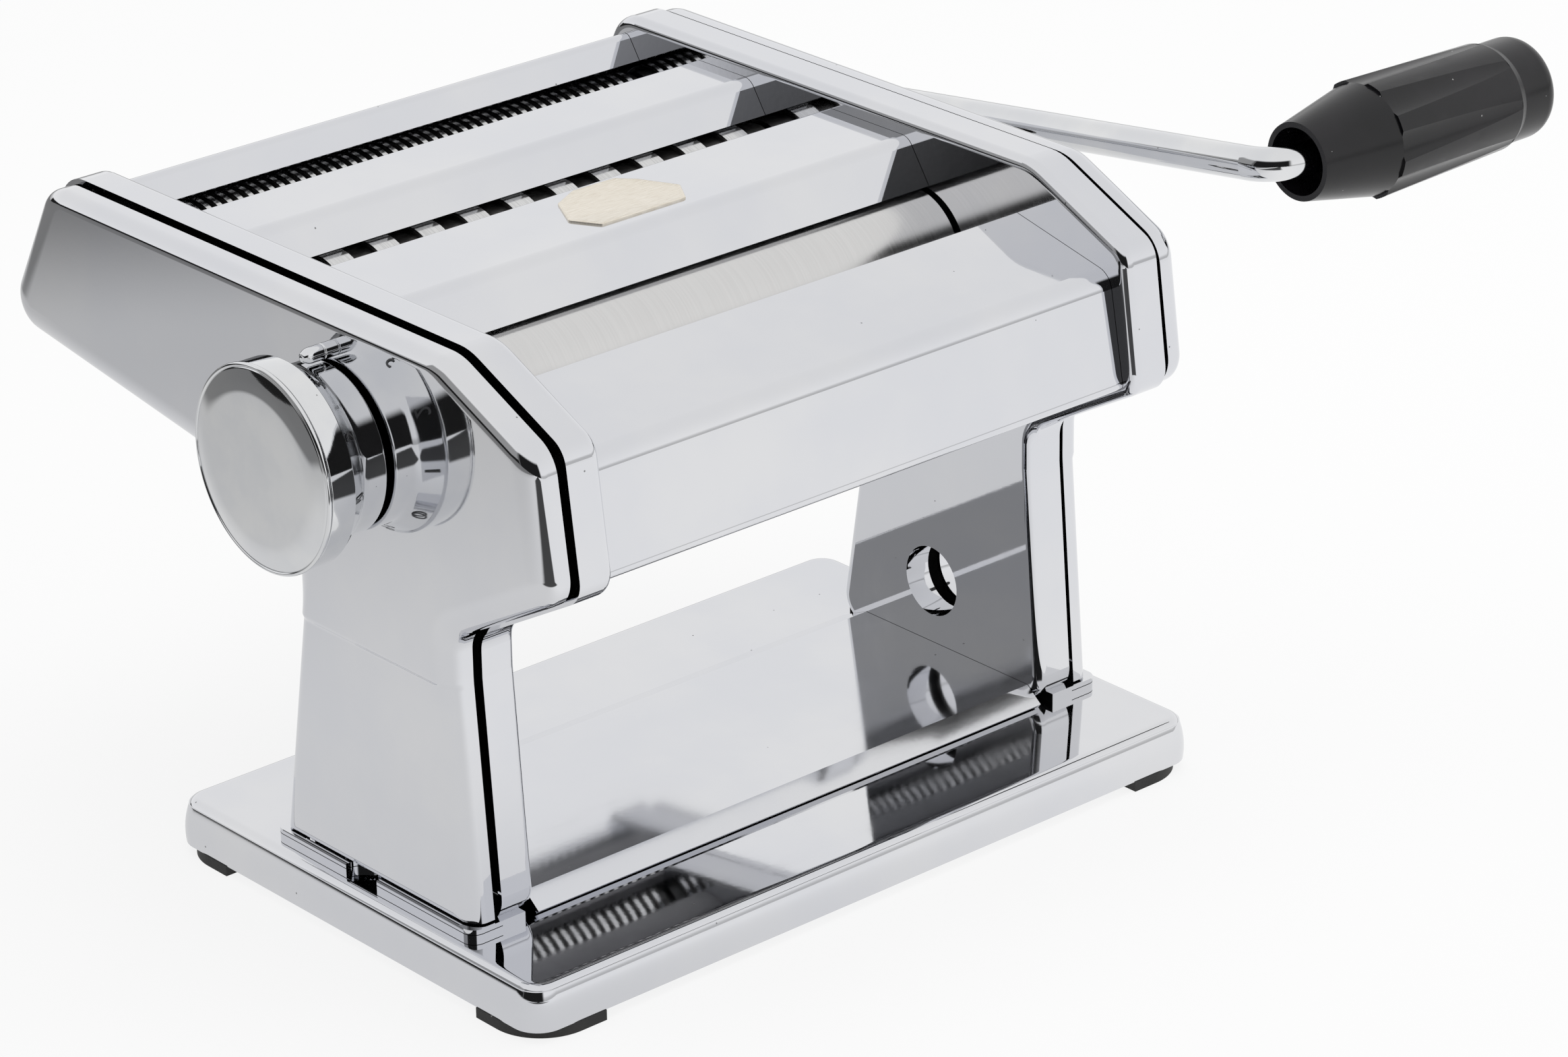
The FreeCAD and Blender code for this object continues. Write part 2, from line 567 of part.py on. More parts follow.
def shaft_outline(radius, left_end, right_end):
    return [(f"-{left_end}", "0"), (right_end, "0"), (right_end, "journal"), ("roller_half", "journal"),
            ("roller_half", radius), ("-roller_half", radius), ("-roller_half", "journal"),
            (f"-{left_end}", "journal")]


body = new_body("smooth_roller_front", y="smooth_y", z="smooth_z")
turned(body, [shaft_outline("roller_radius", "idle_end", "shaft_end")])
drive_socket(body)
body = new_body("smooth_roller_rear", y=REAR_Y, z="smooth_z")
turned(body, [shaft_outline("roller_radius", "idle_end", "short_end")])


def cutter(label, y, z, pitch, shift, count, left_end, right_end, driven, turn=0):
    """Grooved roller: a core with rings, each ring running in a groove of its partner."""
    body = new_body(label, y=y, z=z, turn=turn)
    turned(body, [shaft_outline("cutter_core", left_end, right_end)])
    start = f"(-roller_half + {shift} * {pitch} / 2)"
    stop = f"{start} + {pitch} / 2 - side_gap"
    inner = "cutter_core - 1"
    ring = turned(body, [[(start, inner), (stop, inner), (stop, "cutter_radius"), (start, "cutter_radius")]])
    repeat_along(body, ring, f"{pitch} * ({count} - 1)", count)
    if driven:
        drive_socket(body)


wide_count = int(2 * number("roller_half") / number("wide_pitch") + 0.5)
narrow_count = int(2 * number("roller_half") / number("narrow_pitch") + 0.5)
cutter("cutter_wide_front", "wide_y", "wide_z", "wide_pitch", 0, wide_count, "idle_end", "shaft_end", True)
cutter("cutter_wide_rear", WIDE_REAR, "wide_z", "wide_pitch", 1, wide_count - 1, "idle_end", "short_end", False)
cutter("cutter_narrow_front", "narrow_y", "narrow_z", "narrow_pitch", 0, narrow_count,
       "short_end", "shaft_end", True, turn=-number("crank_tilt"))
cutter("cutter_narrow_rear", NARROW_REAR, "narrow_z", "narrow_pitch", 1, narrow_count - 1,
       "short_end", "idle_end", False)


# Combs that lift the strands out of the cutters' grooves
def comb(label, y, z, pitch, shift, count, start_angle):
    body = new_body(label, y=y, z=z, turn=start_angle)
    low, high = "cutter_radius + comb_gap", "cutter_radius + comb_gap + comb_bar"
    bar = [(f"-{PANEL_HALF}", low), (PANEL_HALF, low), (PANEL_HALF, high), (f"-{PANEL_HALF}", high)]
    turned(body, [bar], "comb_sweep")
    start = f"(-roller_half + ({shift} + 1) * {pitch} / 2 - side_gap + comb_gap)"
    stop = f"(-roller_half + ({shift} + 2) * {pitch} / 2 - comb_gap)"
    tip = "cutter_core + comb_gap"
    root = f"{low} + comb_gap / 4"
    tooth = turned(body, [[(start, tip), (stop, tip), (stop, root), (start, root)]], "comb_sweep")
    repeat_along(body, tooth, f"{pitch} * ({count} - 1)", count)


front_turn = number("comb_start")
rear_turn = 540 - number("comb_start") - number("comb_sweep")
comb("comb_wide_front", "wide_y", "wide_z", "wide_pitch", 0, wide_count - 1, front_turn)
comb("comb_wide_rear", WIDE_REAR, "wide_z", "wide_pitch", 1, wide_count - 2, rear_turn)
comb("comb_narrow_front", "narrow_y", "narrow_z", "narrow_pitch", 0, narrow_count - 1, front_turn)
comb("comb_narrow_rear", NARROW_REAR, "narrow_z", "narrow_pitch", 1, narrow_count - 2, rear_turn)


# Gears: straight-flanked teeth, in mesh at rest with a tooth of one in a gap of the other
def gear(label, y, z, kind, side, partner):
    turn = partner * 180 / number(f"{kind}_teeth")
    body = new_body(label, x=signed(side, "gear_in"), y=y, z=z, turn=turn)
    left = side < 0
    disc = [("0", "0", "journal"), ("0", "0", f"{kind}_root")]
    pad(body, drawing(body, "YZ_Plane", circles=disc), "gear_width", back=left)
    base, tip = f"{kind}_root - tooth_root", f"{kind}_tip"
    wide, thin = f"{kind}_half_root", f"{kind}_half_tip"
    outline = [(base, f"-{wide}"), (tip, f"-{thin}"), (tip, thin), (base, wide)]
    tooth = pad(body, drawing(body, "YZ_Plane", [outline]), "gear_width", back=left)
    repeat_around(body, tooth, f"{kind}_teeth")


gear("gear_smooth_front", "smooth_y", "smooth_z", "long", 1, 0)
gear("gear_smooth_rear", REAR_Y, "smooth_z", "long", 1, 1)
gear("gear_wide_front", "wide_y", "wide_z", "short", 1, 0)
gear("gear_wide_rear", WIDE_REAR, "wide_z", "short", 1, 1)
gear("gear_narrow_front", "narrow_y", "narrow_z", "short", -1, 0)
gear("gear_narrow_rear", NARROW_REAR, "narrow_z", "short", -1, 1)


# Carriage that moves the rear smooth roller: two blocks joined by a rod, between rails
for side, side_name in ((-1, "left"), (1, "right")):
    body = new_body(f"bearing_block_{side_name}")
    block = box_outline(f"{REAR_Y} - block_half", f"{REAR_Y} + block_half", "block_low", "block_top")
    bores = [(REAR_Y, "smooth_z", "journal + run_gap"), (REAR_Y, "link_z", "link_radius")]
    place = signed(side, "block_in")
    pad(body, drawing(body, "YZ_Plane", [block], bores, lift=place), "block_thick", back=side < 0)
    if side < 0:
        spot = [(f"{REAR_Y} - cam_radius - cam_play - follower", "smooth_z", "follower")]
        length = "cam_in + cam_width - block_in"
        pad(body, drawing(body, "YZ_Plane", circles=spot, lift=place), length, back=True)
    body = new_body(f"carriage_rails_{side_name}")
    upper = box_outline("rail_front", "rail_back", "block_top + rail_gap", "block_top + rail_gap + rail")
    lower = box_outline("rail_front", "rail_back", "block_low - rail_gap - rail", "block_low - rail_gap")
    rails = drawing(body, "YZ_Plane", [upper, lower], lift=signed(side, WALL_OUT))
    pad(body, rails, "rail_width", back=side < 0)

body = new_body("carriage_rod", y=REAR_Y, z="link_z")
rod_end = "(block_in + block_thick)"
turned(body, [[(f"-{rod_end}", "0"), (rod_end, "0"), (rod_end, "link_radius"), (f"-{rod_end}", "link_radius")]])


# Scrapers that ride on the two lower rods, just under the smooth rollers
def scraper(label, y):
    body = new_body(label, x="-roller_half", y=y)
    low, high = "link_z + link_radius", "smooth_z - roller_radius - blade_gap"
    blade = box_outline("-blade_half", "blade_half", low, high)
    pad(body, drawing(body, "YZ_Plane", [blade]), "2 * roller_half")


scraper("scraper_front", "smooth_y")
scraper("scraper_rear", REAR_Y)

# Thickness adjuster: bush in the left cover, spindle, snail cam and end screw
body = new_body("knob_bush", y=REAR_Y, z="smooth_z")
inner, outer = f"({COVER_BACK} - flange_thick)", f"({COVER_FACE} + bush_proud)"
places = [(inner, "spindle + run_gap"), (outer, "spindle + run_gap"), (outer, "knob_bush_radius"),
          (COVER_BACK, "knob_bush_radius"), (COVER_BACK, "knob_bush_flange"), (inner, "knob_bush_flange")]
turned(body, [[(signed(-1, x), radius) for x, radius in places]])

body = new_body("knob_spindle", y=REAR_Y, z="smooth_z")
collar_in, collar_out = "(cam_in + cam_width)", f"({inner} - collar_play)"
places = [("spindle_in", "0"), ("screw_tip", "0"), ("screw_tip", "screw_shank"), ("spindle_end", "screw_shank"),
          ("spindle_end", "spindle"), (collar_out, "spindle"), (collar_out, "collar_radius"),
          (collar_in, "collar_radius"), (collar_in, "spindle"), ("spindle_in", "spindle")]
turned(body, [[(signed(-1, x), radius) for x, radius in places]])
flat = box_outline("-2 * spindle", "2 * spindle", "flat_height", "2 * spindle")
flat_sketch = drawing(body, "YZ_Plane", [flat], lift="-spindle_end")
cut(body, flat_sketch, "spindle_end - knob_start - flat_setback", back=True)

body = new_body("knob_screw", y=REAR_Y, z="smooth_z")
head_top = "spindle_end + screw_thick"
places = [("screw_tip", "0"), (head_top, "0"), (head_top, "screw_head"), ("spindle_end", "screw_head"),
          ("spindle_end", "screw_shank"), ("screw_tip", "screw_shank")]
turned(body, [[(signed(-1, x), radius) for x, radius in places]])


def snail_cam():
    """Disc whose radius falls evenly with the angle, so each knob step moves the carriage alike."""
    slope = number("cam_step / step_angle")
    points = []
    for angle in range(0, 343, 18):
        radius = number("cam_radius") + slope * (180 - angle)
        turn = math.radians(angle)
        points.append(FreeCAD.Vector(-number("cam_in"), radius * math.cos(turn), radius * math.sin(turn)))
    curve = Part.BSplineCurve()
    curve.interpolate(points)
    rim = Part.Wire([curve.toShape(), Part.makeLine(points[-1], points[0])])
    disc = Part.Face(rim).extrude(FreeCAD.Vector(-number("cam_width"), 0, 0))
    start = FreeCAD.Vector(-number("cam_in") + 1, 0, 0)
    bore = Part.makeCylinder(number("spindle"), number("cam_width") + 2, start, FreeCAD.Vector(-1, 0, 0))
    return disc.cut(bore)


cam = doc.addObject("Part::Feature", "adjuster_cam")
cam.Label = "adjuster_cam"
cam.Shape = snail_cam()
cam.Placement = FreeCAD.Placement(FreeCAD.Vector(0, number(REAR_Y), number("smooth_z")), FreeCAD.Rotation())
nodes["adjuster_cam"] = cam

# Knob: numbered drum and domed cap
body = new_body("knob_drum", y=REAR_Y, z="smooth_z")
places = [("knob_start", "spindle + run_gap"), ("knob_web", "spindle + run_gap"), ("knob_web", "knob_cavity"),
          ("knob_rim", "knob_cavity"), ("knob_rim", "knob_upper"), ("knob_shoulder", "knob_upper"),
          ("knob_shoulder", "knob_upper - knob_step"), ("knob_neck", "knob_lower"),
          ("knob_start", "knob_lower")]
turned(body, [[(signed(-1, x), radius) for x, radius in places]])
key = box_outline("-key_half", "key_half", "flat_height + run_gap", "spindle + key_root")
pad(body, drawing(body, "YZ_Plane", [key], lift="-knob_web"), "knob_web - knob_start - flat_setback")

body = new_body("knob_cap", y=REAR_Y, z="smooth_z")
places = [("knob_rim", "0"), ("cap_dome", "0"), ("cap_dome - cap_groove", "cap_rim / 2"),
          ("cap_edge", "cap_rim - 3 * cap_bead"), ("cap_edge - cap_groove", "cap_rim - 2.5 * cap_bead"),
          ("cap_edge", "cap_rim - 1.5 * cap_bead"), ("cap_edge - cap_bead", "cap_rim"),
          ("knob_rim + cap_seat", "cap_rim"), ("knob_rim", "cap_rim - cap_seat")]
turned(body, [[(signed(-1, x), radius) for x, radius in places]])

body = new_body("index_pin", y="pin_y", z="pin_z")
near, far = COVER_FACE, f"({COVER_FACE} + pin_length)"
places = [(near, "0"), (far, "0"), (f"{far} - 0.3", "0.5 * pin_radius"), (f"{far} - 1.6", "0.95 * pin_radius"),
          (f"{far} - 2.6", "pin_radius"), (near, "pin_radius")]
turned(body, [[(signed(-1, x), radius) for x, radius in places]])

# Crank: square tang, bent rod and fluted grip
GRIP_Y = "(narrow_y - crank_radius * cos(crank_tilt * 1deg))"
GRIP_Z = "(narrow_z + crank_radius * sin(crank_tilt * 1deg))"
tilt = number("crank_tilt")
body = new_body("crank_rod", y="narrow_y", z="narrow_z", turn=-tilt)
path = sketch_on(body, "XY_Plane")
rod_start, rod_stop = "shaft_end + tang_gap", "grip_floor - rod_end_gap"
stations = [(rod_start, "0"), ("crank_plane - crank_bend", "0"), ("crank_plane", "-crank_bend"),
            ("crank_plane", "-crank_radius + crank_bend"), ("crank_plane + crank_bend", "-crank_radius"),
            (rod_stop, "-crank_radius")]
spots = [FreeCAD.Vector(number(x), number(y), 0) for x, y in stations]
reach = number("crank_bend")
for first in (0, 2, 4):
    line = path.addGeometry(Part.LineSegment(spots[first], spots[first + 1]), False)
    pin_point(path, line, 1, stations[first])
    pin_point(path, line, 2, stations[first + 1])
quarter = math.pi / 2
upright, sideways = FreeCAD.Vector(0, 0, 1), FreeCAD.Vector(0, reach, 0)
inner_arc = Part.ArcOfCircle(Part.Circle(spots[1] - sideways, upright, reach), 0, quarter)
outer_arc = Part.ArcOfCircle(Part.Circle(spots[4] + sideways, upright, reach), 2 * quarter, 3 * quarter)
for arc, joins in ((inner_arc, ((1, 1, 1), (2, 0, 2))), (outer_arc, ((1, 1, 2), (2, 2, 1)))):
    index = path.addGeometry(arc, False)
    for place, line, line_place in joins:
        path.addConstraint(Sketcher.Constraint("Coincident", index, place, line, line_place))
    radius_rule = path.addConstraint(Sketcher.Constraint("Radius", index, reach))
    path.setExpression(f"Constraints[{radius_rule}]", bound("crank_bend"))
section = drawing(body, "YZ_Plane", circles=[("0", "0", "crank_rod")], lift=rod_start)
pipe = body.newObject("PartDesign::AdditivePipe", "rod")
pipe.Profile = section
pipe.Spine = (path, [])
doc.recompute()
half = "tang_side / 2"
square = box_outline(f"-{half}", half, f"-{half}", half)
pad(body, drawing(body, "YZ_Plane", [square], lift=rod_start), "tang_length", back=True)

body = new_body("crank_grip", y=GRIP_Y, z=GRIP_Z, turn=-tilt)
floor = "grip_start + hollow_depth"
places = [("grip_start", "grip_hollow"), ("grip_start", "grip_mouth"), ("grip_shoulder", "shoulder_radius"),
          ("grip_shoulder", "rib_radius"), ("rib_end", "grip_tail + tail_step"),
          ("rib_end + tail_slope", "grip_tail"), ("grip_end", "grip_tail"), ("grip_end", "0"),
          ("grip_floor", "0"), ("grip_floor", "grip_bore"),
          (floor, "grip_bore"), (floor, "grip_hollow")]
turned(body, [places])
round_edges(body, "grip_round", lambda edge: flat_at_x(number("grip_end"))(edge))
flute = [("rib_radius - flute_depth + flute_radius", "0", "flute_radius")]
flute_sketch = drawing(body, "YZ_Plane", circles=flute, lift="grip_shoulder")
groove = cut(body, flute_sketch, "rib_end - grip_shoulder", back=True)
repeat_around(body, groove, "flutes")

# Check every object and write the pieces
doc.recompute()
for item in doc.Objects:
    assert not {"Invalid", "Error"} & set(item.State), f"{item.Label}: {item.State}"
os.makedirs("parts", exist_ok=True)
for label, item in nodes.items():
    shape = item.Shape
    assert not shape.isNull() and shape.isValid() and shape.Solids, label
    shape.exportStep(f"parts/{label}.step")
    print(f"{label}: {len(shape.Solids)} solid(s), {shape.Volume:.1f} mm3")
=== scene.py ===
"""Looks of a hand-cranked pasta machine: chromed sheet, steel rollers and cutters, black grip."""

import math

import bmesh
import bpy
from mathutils import Euler, Matrix, Vector


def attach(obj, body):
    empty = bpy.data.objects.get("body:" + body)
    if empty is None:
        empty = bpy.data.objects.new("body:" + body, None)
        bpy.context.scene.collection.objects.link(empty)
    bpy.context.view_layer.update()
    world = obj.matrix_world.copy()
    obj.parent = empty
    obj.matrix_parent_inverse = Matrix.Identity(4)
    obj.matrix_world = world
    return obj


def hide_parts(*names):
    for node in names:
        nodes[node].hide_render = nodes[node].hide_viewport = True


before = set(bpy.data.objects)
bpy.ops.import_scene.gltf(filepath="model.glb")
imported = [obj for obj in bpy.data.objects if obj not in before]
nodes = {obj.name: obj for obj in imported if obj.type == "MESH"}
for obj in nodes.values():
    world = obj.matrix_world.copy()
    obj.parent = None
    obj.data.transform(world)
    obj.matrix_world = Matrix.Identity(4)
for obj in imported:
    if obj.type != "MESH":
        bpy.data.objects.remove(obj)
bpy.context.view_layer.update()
scene = bpy.context.scene
scene.view_settings.view_transform = "Standard"
MM = 0.001


# Shader maths


class Wire:
    """One output socket of a node tree. Maths on it adds Math nodes, and node() adds any other node."""

    def __init__(self, tree, socket=None):
        self.tree = tree
        self.socket = socket

    def node(self, kind, settings=None, sockets=None, out=0):
        made = self.tree.nodes.new("ShaderNode" + kind)
        for name, value in (settings or {}).items():
            setattr(made, name, value)
        for name, value in (sockets or {}).items():
            if isinstance(value, Wire):
                self.tree.links.new(value.socket, made.inputs[name])
            else:
                made.inputs[name].default_value = value
        return Wire(self.tree, made.outputs[out] if made.outputs else None)

    def maths(self, operation, left, right=0.0):
        return self.node("Math", {"operation": operation}, {0: left, 1: right})

    def __add__(self, other):
        return self.maths("ADD", self, other)

    def __radd__(self, other):
        return self.maths("ADD", other, self)

    def __sub__(self, other):
        return self.maths("SUBTRACT", self, other)

    def __rsub__(self, other):
        return self.maths("SUBTRACT", other, self)

    def __mul__(self, other):
        return self.maths("MULTIPLY", self, other)

    def __pow__(self, other):
        return self.maths("POWER", self, other)

    def __gt__(self, other):
        return self.maths("GREATER_THAN", self, other)

    def __lt__(self, other):
        return self.maths("LESS_THAN", self, other)

    def step(self, low, high):
        """0 below low, 1 above high and a smooth rise between them."""
        sockets = {"Value": self, "From Min": low, "From Max": high}
        return self.node("MapRange", {"interpolation_type": "SMOOTHSTEP"}, sockets)

    def blend(self, first, second):
        """The colour first where this is 0 and second where it is 1."""
        sockets = {0: self, 6: first, 7: second}
        return self.node("Mix", {"data_type": "RGBA"}, sockets, out=2)

    def noise(self, scale, detail=2.0, roughness=0.5):
        sockets = {"Vector": self, "Scale": scale, "Detail": detail, "Roughness": roughness}
        return self.node("TexNoise", {}, sockets)

    def stretched(self, along):
        return self.node("Mapping", {}, {"Vector": self, "Scale": along})

    def axis(self, letter):
        return self.node("SeparateXYZ", {}, {"Vector": self}, out=letter)

    def relief(self, strength, distance):
        sockets = {"Height": self, "Strength": strength, "Distance": distance}
        return self.node("Bump", {}, sockets, out="Normal")


def grey(value, alpha=1.0):
    return (value, value, value, alpha)


def new_finish(name):
    finish = bpy.data.materials.new(name)
    finish.use_nodes = True
    finish.node_tree.nodes.clear()
    return finish, Wire(finish.node_tree).node("TexCoord", out="Object")


def close_finish(place, sockets):
    surface = place.node("BsdfPrincipled", {}, sockets)
    place.node("OutputMaterial", {}, {"Surface": surface})


def dust(place, scale, share):
    """Sparse round specks: this share of the cells of a Voronoi grid holds one."""
    speck_radius = 0.10
    cells = {"Vector": place, "Scale": scale}
    near = place.node("TexVoronoi", {}, cells, out="Distance") < speck_radius
    chosen = place.node("TexVoronoi", {}, cells, out="Color")
    pick = place.node("SeparateColor", {}, {"Color": chosen}, out="Red") > 1.0 - share
    return near * pick


# Finishes


def chromed_sheet(name, gloss, seam=False):
    """Bright nickel-chrome on pressed steel: faint waves from the press, a little haze, lint and fine pits.

    The side frames are painted near black, as painted shade from their cover, and made dull on the side that
    faces the cover.
    Their foot is two stacked sheets with a dark line at the joint.
    """
    finish, place = new_finish(name)
    haze = place.noise(16.0, 4.0, 0.6)
    smear = place.stretched((14.0, 60.0, 22.0)).noise(1.0, 5.0, 0.65)
    specks = dust(place, 420.0, 0.012)
    tint = haze.step(0.35, 0.70).blend((0.690, 0.699, 0.731, 1), (0.730, 0.734, 0.751, 1))
    colour = (specks * 0.7).blend(tint, grey(0.10))
    rough = gloss + smear.step(0.45, 0.80) * 0.05 + specks * 0.35
    # Side frames only: painted shade on the side that faces the cover, and a dark joint line on the foot.
    if seam:
        tray_floor, tray_rim, foot_start = 77.0 * MM, 85.3 * MM, 86.0 * MM
        split_low, split_high = 14.3 * MM, 14.5 * MM
        out = place.maths("ABSOLUTE", place.axis("X"))
        facing = place.maths("ABSOLUTE", place.node("TexCoord", out="Normal").axis("X"))
        # Painted shade: the frame's side that faces its cover is painted near black, as the shade in the gap
        # under the cover.
        painted_gap_shade = (out > tray_floor) * (out < tray_rim) * facing.step(0.6, 0.8)
        rise = place.axis("Z")
        split = (out > foot_start) * (rise > split_low) * (rise < split_high)
        colour = painted_gap_shade.blend(colour, grey(0.012))
        colour = split.blend(colour, grey(0.006))
        rough = rough + (painted_gap_shade + split) * 0.5
    wave = place.noise(11.0, 1.0) + place.noise(700.0, 1.0) * 0.004
    close_finish(place, {
        "Base Color": colour,
        "Metallic": 1.0,
        "Roughness": rough,
        "Normal": wave.relief(0.22, 0.0010),
    })
    return finish


def chromed_round():
    """Bright plating on turned pieces: fine polishing rings across the axis of the rod or knob."""
    finish, place = new_finish("chromed_round")
    rings = place.stretched((2600.0, 30.0, 30.0)).noise(1.0, 3.0, 0.6)
    haze = place.noise(60.0, 3.0, 0.55)
    specks = dust(place, 520.0, 0.02)
    tint = haze.step(0.35, 0.70).blend((0.70, 0.71, 0.73, 1), (0.76, 0.765, 0.77, 1))
    colour = (specks * 0.6).blend(tint, grey(0.12))
    rough = 0.035 + haze.step(0.4, 0.8) * 0.04 + specks * 0.3
    close_finish(place, {
        "Base Color": colour,
        "Metallic": 1.0,
        "Roughness": rough,
        "Normal": (rings * 0.12 + haze).relief(0.10, 0.0002),
    })
    return finish


def ground_roller():
    """Ground steel roller: grinding lines round the axis and a soft gloss."""
    finish, place = new_finish("ground_roller")
    lines = place.stretched((1800.0, 20.0, 20.0)).noise(1.0, 4.0, 0.6)
    haze = place.noise(40.0, 3.0)
    tint = lines.step(0.2, 0.8).blend((0.66, 0.655, 0.65, 1), (0.70, 0.695, 0.69, 1))
    close_finish(place, {
        "Base Color": tint,
        "Metallic": 1.0,
        "Roughness": 0.14 + lines * 0.10 + haze.step(0.4, 0.8) * 0.06,
        "Normal": lines.relief(0.04, 0.0001),
    })
    return finish


def turned_cutter(name, centre_y, centre_z, land_radius):
    """Turned steel rings: bright lands, and groove floors painted dark as shade."""
    finish, place = new_finish(name)
    across = place.axis("Y") - centre_y * MM
    above = place.axis("Z") - centre_z * MM
    radius = (across * across + above * above) ** 0.5
    land = radius.step((land_radius - 0.9) * MM, (land_radius - 0.35) * MM)
    lines = place.stretched((2400.0, 30.0, 30.0)).noise(1.0, 4.0, 0.6)
    groove_shade_mottle = place.noise(240.0, 3.0)
    bright = lines.step(0.3, 0.7).blend(grey(0.60), grey(0.74))
    # Painted shade: the groove floors are coloured dark, with a faint mottle, for the shade inside the
    # grooves.
    painted_groove_shade = groove_shade_mottle.step(0.35, 0.7).blend((0.11, 0.108, 0.105, 1), (0.19, 0.185, 0.18, 1))
    close_finish(place, {
        "Base Color": land.blend(painted_groove_shade, bright),
        "Metallic": 1.0,
        "Roughness": 0.42 - land * 0.26 + lines * 0.08,
        "Normal": lines.relief(0.12, 0.0001),
    })
    return finish


def inner_steel():
    """Plain drawn steel under the covers: streaked, dull, oily in patches."""
    finish, place = new_finish("inner_steel")
    streaks = place.stretched((90.0, 900.0, 900.0)).noise(1.0, 3.0, 0.6)
    oil = place.noise(70.0, 4.0, 0.6)
    tint = streaks.step(0.3, 0.7).blend((0.10, 0.10, 0.105, 1), (0.17, 0.17, 0.175, 1))
    close_finish(place, {
        "Base Color": oil.step(0.5, 0.8).blend(tint, (0.06, 0.055, 0.05, 1)),
        "Metallic": 1.0,
        "Roughness": 0.42 - oil.step(0.5, 0.8) * 0.18,
        "Normal": streaks.relief(0.15, 0.0001),
    })
    return finish


def moulded(name, dark, light, rough, grain_scale, grain_depth, lint=0.0, gleam=0.5):
    """Moulded plastic or rubber: a fine tool grain, uneven sheen and a few pale specks of lint."""
    finish, place = new_finish(name)
    cloud = place.noise(55.0, 4.0, 0.6)
    grain = place.noise(grain_scale, 2.0, 0.5)
    specks = dust(place, 480.0, lint)
    tint = cloud.step(0.35, 0.7).blend((*dark, 1), (*light, 1))
    close_finish(place, {
        "Base Color": (specks * 0.8).blend(tint, grey(0.45)),
        "Roughness": rough + cloud.step(0.4, 0.8) * 0.08 + specks * 0.3,
        "Specular IOR Level": gleam,
        "Normal": (grain + cloud * 0.3).relief(0.25, grain_depth),
    })
    return finish


def badge_enamel():
    """Champagne-coloured satin foil of a blank plate."""
    finish, place = new_finish("badge_enamel")
    brushed = place.stretched((300.0, 2600.0, 300.0)).noise(1.0, 3.0, 0.6)
    tint = brushed.step(0.3, 0.7).blend((0.72, 0.66, 0.56, 1), (0.84, 0.79, 0.70, 1))
    close_finish(place, {
        "Base Color": tint,
        "Metallic": 0.75,
        "Roughness": 0.24 + brushed * 0.10,
        "Normal": brushed.relief(0.10, 0.0001),
    })
    return finish


sheet_chrome = chromed_sheet("chromed_sheet", 0.030)
# The frame chrome has painted shade on its cover-facing side and a dark joint line on its foot.
frame_chrome = chromed_sheet("chromed_frame", 0.030, seam=True)
pan_chrome = chromed_sheet("chromed_pan", 0.06)
# Painted shade: the inner side of the end covers is coloured near black, for the shade under the covers.
painted_shade_inside = moulded("painted_shade_inside", (0.010, 0.010, 0.010), (0.020, 0.019, 0.018), 0.5, 700.0, 0.0001)
number_ink = moulded("engraved_ink", (0.030, 0.030, 0.032), (0.060, 0.060, 0.062), 0.35, 900.0, 0.0001)
round_chrome = chromed_round()
finishes = {
    "chrome_sheet": sheet_chrome,
    "chrome_turned": round_chrome,
    "roller_steel": ground_roller(),
    "inner_steel": inner_steel(),
    "bush_nylon": moulded("bush_nylon", (0.70, 0.67, 0.60), (0.78, 0.76, 0.70), 0.42, 900.0, 0.0001),
    "comb_plastic": moulded("comb_plastic", (0.13, 0.13, 0.138), (0.18, 0.18, 0.19), 0.45, 800.0, 0.0001),
    "grip_plastic": moulded("grip_plastic", (0.005, 0.005, 0.006), (0.010, 0.009, 0.011), 0.20, 1600.0,
                            0.00005, lint=0.06, gleam=0.40),
    "foot_rubber": moulded("foot_rubber", (0.014, 0.014, 0.014), (0.030, 0.029, 0.028), 0.62, 700.0,
                           0.0002, lint=0.02),
}
KNOB_AXIS = (4.0, 117.0)
SMOOTH_AXIS = (-28.8, 117.0)
WIDE_AXIS = (37.0, 123.0)
NARROW_AXIS = (83.0, 123.5)
cutter_radius, cutter_spacing = 11.5, 22.0
cutter_axes = {
    "cutter_wide_front": WIDE_AXIS,
    "cutter_wide_rear": (WIDE_AXIS[0] + cutter_spacing, WIDE_AXIS[1]),
    "cutter_narrow_front": NARROW_AXIS,
    "cutter_narrow_rear": (NARROW_AXIS[0] + cutter_spacing, NARROW_AXIS[1]),
}
for name, node in nodes.items():
    slot = node.material_slots[0]
    if name in cutter_axes:
        slot.material = turned_cutter(name + "_finish", *cutter_axes[name], cutter_radius)
    elif name.startswith("side_frame"):
        slot.material = frame_chrome
    elif name == "floor_pan":
        slot.material = pan_chrome
    else:
        slot.material = finishes[slot.material.name.split(".")[0]]


# Shaping


def placed(name, work, finishes_used, body, stands_for):
    """Turn a finished bmesh into a smooth piece on a body, in place of the CAD nodes it stands for."""
    mesh = bpy.data.meshes.new(name)
    bmesh.ops.remove_doubles(work, verts=work.verts, dist=1e-7)
    bmesh.ops.recalc_face_normals(work, faces=work.faces)
    work.to_mesh(mesh)
    work.free()
    for finish in finishes_used:
        mesh.materials.append(finish)
    mesh.polygons.foreach_set("use_smooth", [True] * len(mesh.polygons))
    mesh.set_sharp_from_angle(angle=math.radians(40))
    piece = bpy.data.objects.new(name, mesh)
    scene.collection.objects.link(piece)
    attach(piece, body)
    if stands_for:
        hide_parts(*stands_for)


